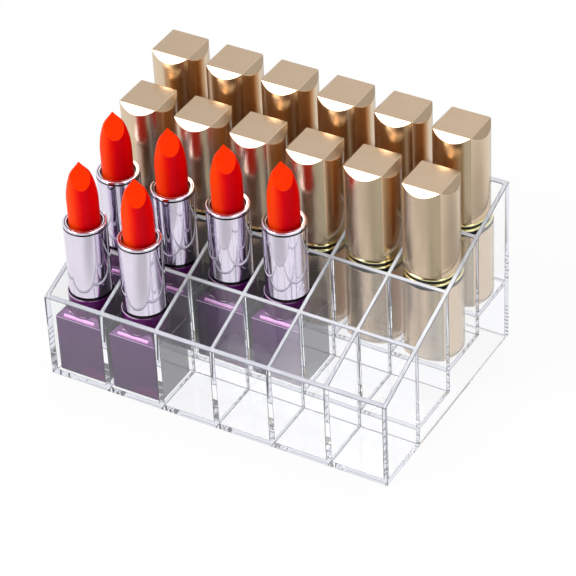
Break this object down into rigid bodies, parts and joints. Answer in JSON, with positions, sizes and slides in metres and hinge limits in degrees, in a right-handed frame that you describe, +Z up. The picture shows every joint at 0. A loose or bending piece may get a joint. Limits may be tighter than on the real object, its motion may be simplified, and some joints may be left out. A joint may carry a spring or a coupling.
{
  "type": "vanity organizer",
  "caption": "Clear stepped tray of square cells for lipsticks, stocked with open twist-up and capped square lipsticks that lift out.",
  "frame": {"origin": "centre of the tray's footprint, on the table", "axes": "+X along the tray's length, +Y from its low front to its high back, +Z up"},
  "size_m": [0.146, 0.099, 0.1034],
  "materials": {
    "clear_plastic": "clear, polished",
    "gold": "satin champagne gold",
    "black_plastic": "gloss",
    "chrome": "polished",
    "purple_plastic": "gloss, slightly translucent",
    "red_wax": "satin wax"
  },
  "bodies": {
    "tray": {"tray": "clear_plastic"},
    "open_lipstick_1": {"purple_base_1": "purple_plastic", "inner_tube_1": "black_plastic"},
    "open_lipstick_1_sleeve": {"chrome_sleeve_1": "chrome"},
    "open_lipstick_1_bullet": {"carrier_1": "black_plastic", "bullet_1": "red_wax"},
    "open_lipstick_2": {"purple_base_2": "purple_plastic", "inner_tube_2": "black_plastic"},
    "open_lipstick_2_sleeve": {"chrome_sleeve_2": "chrome"},
    "open_lipstick_2_bullet": {"carrier_2": "black_plastic", "bullet_2": "red_wax"},
    "open_lipstick_3": {"purple_base_3": "purple_plastic", "inner_tube_3": "black_plastic"},
    "open_lipstick_3_sleeve": {"chrome_sleeve_3": "chrome"},
    "open_lipstick_3_bullet": {"carrier_3": "black_plastic", "bullet_3": "red_wax"},
    "open_lipstick_4": {"purple_base_4": "purple_plastic", "inner_tube_4": "black_plastic"},
    "open_lipstick_4_sleeve": {"chrome_sleeve_4": "chrome"},
    "open_lipstick_4_bullet": {"carrier_4": "black_plastic", "bullet_4": "red_wax"},
    "open_lipstick_5": {"purple_base_5": "purple_plastic", "inner_tube_5": "black_plastic"},
    "open_lipstick_5_sleeve": {"chrome_sleeve_5": "chrome"},
    "open_lipstick_5_bullet": {"carrier_5": "black_plastic", "bullet_5": "red_wax"},
    "open_lipstick_6": {"purple_base_6": "purple_plastic", "inner_tube_6": "black_plastic"},
    "open_lipstick_6_sleeve": {"chrome_sleeve_6": "chrome"},
    "open_lipstick_6_bullet": {"carrier_6": "black_plastic", "bullet_6": "red_wax"},
    "capped_lipstick_01": {"gold_base_01": "gold"},
    "capped_lipstick_01_cap": {"gold_cap_01": "gold"},
    "capped_lipstick_02": {"gold_base_02": "gold"},
    "capped_lipstick_02_cap": {"gold_cap_02": "gold"},
    "capped_lipstick_03": {"gold_base_03": "gold"},
    "capped_lipstick_03_cap": {"gold_cap_03": "gold"},
    "capped_lipstick_04": {"gold_base_04": "gold"},
    "capped_lipstick_04_cap": {"gold_cap_04": "gold"},
    "capped_lipstick_05": {"gold_base_05": "gold"},
    "capped_lipstick_05_cap": {"gold_cap_05": "gold"},
    "capped_lipstick_06": {"gold_base_06": "gold"},
    "capped_lipstick_06_cap": {"gold_cap_06": "gold"},
    "capped_lipstick_07": {"gold_base_07": "gold"},
    "capped_lipstick_07_cap": {"gold_cap_07": "gold"},
    "capped_lipstick_08": {"gold_base_08": "gold"},
    "capped_lipstick_08_cap": {"gold_cap_08": "gold"},
    "capped_lipstick_09": {"gold_base_09": "gold"},
    "capped_lipstick_09_cap": {"gold_cap_09": "gold"},
    "capped_lipstick_10": {"gold_base_10": "gold"},
    "capped_lipstick_10_cap": {"gold_cap_10": "gold"},
    "capped_lipstick_11": {"gold_base_11": "gold"},
    "capped_lipstick_11_cap": {"gold_cap_11": "gold"},
    "capped_lipstick_12": {"gold_base_12": "gold"},
    "capped_lipstick_12_cap": {"gold_cap_12": "gold"}
  },
  "joints": [
    {"name": "open_lipstick_1_lift", "type": "slide", "parent": "tray", "child": "open_lipstick_1", "axis": [0, 0, 1], "range_m": [0, 0.0763]},
    {"name": "sleeve_1_twist", "type": "hinge", "parent": "open_lipstick_1", "child": "open_lipstick_1_sleeve", "pos_m": [-0.06, -0.03637, 0.0374], "axis": [0, 0, 1], "range_deg": [0, 360]},
    {"name": "bullet_1_travel", "type": "slide", "parent": "open_lipstick_1", "child": "open_lipstick_1_bullet", "axis": [0, 0, 1], "range_m": [-0.0253, 0]},
    {"name": "open_lipstick_2_lift", "type": "slide", "parent": "tray", "child": "open_lipstick_2", "axis": [0, 0, 1], "range_m": [0, 0.0763]},
    {"name": "sleeve_2_twist", "type": "hinge", "parent": "open_lipstick_2", "child": "open_lipstick_2_sleeve", "pos_m": [-0.036, -0.03637, 0.0374], "axis": [0, 0, 1], "range_deg": [0, 360]},
    {"name": "bullet_2_travel", "type": "slide", "parent": "open_lipstick_2", "child": "open_lipstick_2_bullet", "axis": [0, 0, 1], "range_m": [-0.0253, 0]},
    {"name": "open_lipstick_3_lift", "type": "slide", "parent": "tray", "child": "open_lipstick_3", "axis": [0, 0, 1], "range_m": [0, 0.0689]},
    {"name": "sleeve_3_twist", "type": "hinge", "parent": "open_lipstick_3", "child": "open_lipstick_3_sleeve", "pos_m": [-0.06, -0.01213, 0.0448], "axis": [0, 0, 1], "range_deg": [0, 360]},
    {"name": "bullet_3_travel", "type": "slide", "parent": "open_lipstick_3", "child": "open_lipstick_3_bullet", "axis": [0, 0, 1], "range_m": [-0.0253, 0]},
    {"name": "open_lipstick_4_lift", "type": "slide", "parent": "tray", "child": "open_lipstick_4", "axis": [0, 0, 1], "range_m": [0, 0.0689]},
    {"name": "sleeve_4_twist", "type": "hinge", "parent": "open_lipstick_4", "child": "open_lipstick_4_sleeve", "pos_m": [-0.036, -0.01213, 0.0448], "axis": [0, 0, 1], "range_deg": [0, 360]},
    {"name": "bullet_4_travel", "type": "slide", "parent": "open_lipstick_4", "child": "open_lipstick_4_bullet", "axis": [0, 0, 1], "range_m": [-0.0253, 0]},
    {"name": "open_lipstick_5_lift", "type": "slide", "parent": "tray", "child": "open_lipstick_5", "axis": [0, 0, 1], "range_m": [0, 0.0689]},
    {"name": "sleeve_5_twist", "type": "hinge", "parent": "open_lipstick_5", "child": "open_lipstick_5_sleeve", "pos_m": [-0.012, -0.01213, 0.0448], "axis": [0, 0, 1], "range_deg": [0, 360]},
    {"name": "bullet_5_travel", "type": "slide", "parent": "open_lipstick_5", "child": "open_lipstick_5_bullet", "axis": [0, 0, 1], "range_m": [-0.0253, 0]},
    {"name": "open_lipstick_6_lift", "type": "slide", "parent": "tray", "child": "open_lipstick_6", "axis": [0, 0, 1], "range_m": [0, 0.0689]},
    {"name": "sleeve_6_twist", "type": "hinge", "parent": "open_lipstick_6", "child": "open_lipstick_6_sleeve", "pos_m": [0.012, -0.01213, 0.0448], "axis": [0, 0, 1], "range_deg": [0, 360]},
    {"name": "bullet_6_travel", "type": "slide", "parent": "open_lipstick_6", "child": "open_lipstick_6_bullet", "axis": [0, 0, 1], "range_m": [-0.0253, 0]},
    {"name": "capped_lipstick_01_lift", "type": "slide", "parent": "tray", "child": "capped_lipstick_01", "axis": [0, 0, 1], "range_m": [0, 0.0591]},
    {"name": "cap_01_pull", "type": "slide", "parent": "capped_lipstick_01", "child": "capped_lipstick_01_cap", "axis": [0, 0, 1], "range_m": [0, 0.03]},
    {"name": "capped_lipstick_02_lift", "type": "slide", "parent": "tray", "child": "capped_lipstick_02", "axis": [0, 0, 1], "range_m": [0, 0.0591]},
    {"name": "cap_02_pull", "type": "slide", "parent": "capped_lipstick_02", "child": "capped_lipstick_02_cap", "axis": [0, 0, 1], "range_m": [0, 0.03]},
    {"name": "capped_lipstick_03_lift", "type": "slide", "parent": "tray", "child": "capped_lipstick_03", "axis": [0, 0, 1], "range_m": [0, 0.0591]},
    {"name": "cap_03_pull", "type": "slide", "parent": "capped_lipstick_03", "child": "capped_lipstick_03_cap", "axis": [0, 0, 1], "range_m": [0, 0.03]},
    {"name": "capped_lipstick_04_lift", "type": "slide", "parent": "tray", "child": "capped_lipstick_04", "axis": [0, 0, 1], "range_m": [0, 0.0591]},
    {"name": "cap_04_pull", "type": "slide", "parent": "capped_lipstick_04", "child": "capped_lipstick_04_cap", "axis": [0, 0, 1], "range_m": [0, 0.03]},
    {"name": "capped_lipstick_05_lift", "type": "slide", "parent": "tray", "child": "capped_lipstick_05", "axis": [0, 0, 1], "range_m": [0, 0.0591]},
    {"name": "cap_05_pull", "type": "slide", "parent": "capped_lipstick_05", "child": "capped_lipstick_05_cap", "axis": [0, 0, 1], "range_m": [0, 0.03]},
    {"name": "capped_lipstick_06_lift", "type": "slide", "parent": "tray", "child": "capped_lipstick_06", "axis": [0, 0, 1], "range_m": [0, 0.0591]},
    {"name": "cap_06_pull", "type": "slide", "parent": "capped_lipstick_06", "child": "capped_lipstick_06_cap", "axis": [0, 0, 1], "range_m": [0, 0.03]},
    {"name": "capped_lipstick_07_lift", "type": "slide", "parent": "tray", "child": "capped_lipstick_07", "axis": [0, 0, 1], "range_m": [0, 0.0503]},
    {"name": "cap_07_pull", "type": "slide", "parent": "capped_lipstick_07", "child": "capped_lipstick_07_cap", "axis": [0, 0, 1], "range_m": [0, 0.03]},
    {"name": "capped_lipstick_08_lift", "type": "slide", "parent": "tray", "child": "capped_lipstick_08", "axis": [0, 0, 1], "range_m": [0, 0.0503]},
    {"name": "cap_08_pull", "type": "slide", "parent": "capped_lipstick_08", "child": "capped_lipstick_08_cap", "axis": [0, 0, 1], "range_m": [0, 0.03]},
    {"name": "capped_lipstick_09_lift", "type": "slide", "parent": "tray", "child": "capped_lipstick_09", "axis": [0, 0, 1], "range_m": [0, 0.0503]},
    {"name": "cap_09_pull", "type": "slide", "parent": "capped_lipstick_09", "child": "capped_lipstick_09_cap", "axis": [0, 0, 1], "range_m": [0, 0.03]},
    {"name": "capped_lipstick_10_lift", "type": "slide", "parent": "tray", "child": "capped_lipstick_10", "axis": [0, 0, 1], "range_m": [0, 0.0503]},
    {"name": "cap_10_pull", "type": "slide", "parent": "capped_lipstick_10", "child": "capped_lipstick_10_cap", "axis": [0, 0, 1], "range_m": [0, 0.03]},
    {"name": "capped_lipstick_11_lift", "type": "slide", "parent": "tray", "child": "capped_lipstick_11", "axis": [0, 0, 1], "range_m": [0, 0.0503]},
    {"name": "cap_11_pull", "type": "slide", "parent": "capped_lipstick_11", "child": "capped_lipstick_11_cap", "axis": [0, 0, 1], "range_m": [0, 0.03]},
    {"name": "capped_lipstick_12_lift", "type": "slide", "parent": "tray", "child": "capped_lipstick_12", "axis": [0, 0, 1], "range_m": [0, 0.0503]},
    {"name": "cap_12_pull", "type": "slide", "parent": "capped_lipstick_12", "child": "capped_lipstick_12_cap", "axis": [0, 0, 1], "range_m": [0, 0.03]}
  ],
  "couplings": [
    {"joint": "bullet_1_travel", "follows": "sleeve_1_twist", "m_per_rad": -0.0040266},
    {"joint": "bullet_2_travel", "follows": "sleeve_2_twist", "m_per_rad": -0.0040266},
    {"joint": "bullet_3_travel", "follows": "sleeve_3_twist", "m_per_rad": -0.0040266},
    {"joint": "bullet_4_travel", "follows": "sleeve_4_twist", "m_per_rad": -0.0040266},
    {"joint": "bullet_5_travel", "follows": "sleeve_5_twist", "m_per_rad": -0.0040266},
    {"joint": "bullet_6_travel", "follows": "sleeve_6_twist", "m_per_rad": -0.0040266}
  ]
}
